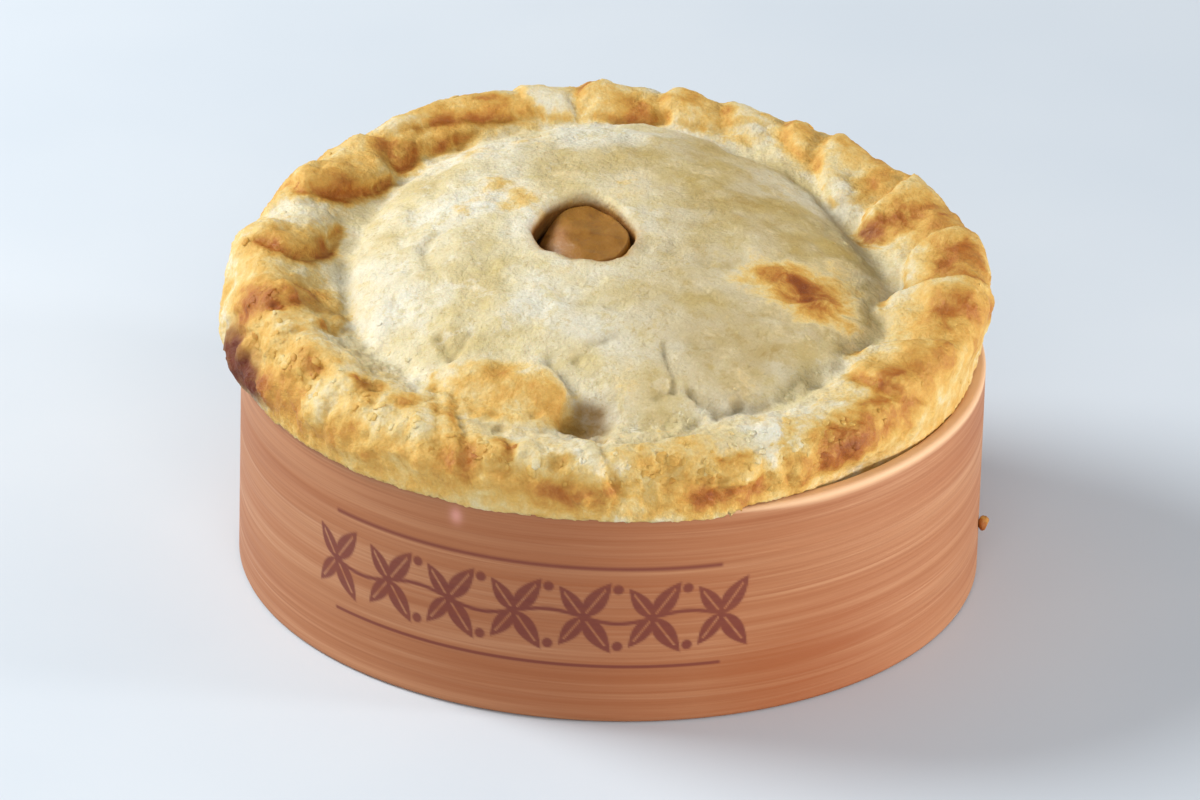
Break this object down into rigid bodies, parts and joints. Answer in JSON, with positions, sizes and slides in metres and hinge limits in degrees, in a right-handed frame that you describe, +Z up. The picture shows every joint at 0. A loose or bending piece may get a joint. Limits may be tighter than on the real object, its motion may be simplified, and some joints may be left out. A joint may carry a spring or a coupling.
{
  "type": "apple pie",
  "caption": "Round deep pie with a domed pastry lid, a steam vent over apple filling and an uneven crimped rim, in a thin straight-sided wooden case.",
  "frame": {"origin": "middle of the case's underside, on the surface that the pie stands on", "axes": "+Z up; -Y is the side that the picture shows in front, and +X is to its right"},
  "size_m": [0.1244, 0.1227, 0.0585],
  "materials": {
    "case_wood": "satin",
    "pastry": "matte",
    "apple_filling": "gloss"
  },
  "bodies": {
    "root": {"case": "case_wood", "crust": "pastry", "filling": "apple_filling"}
  },
  "joints": []
}
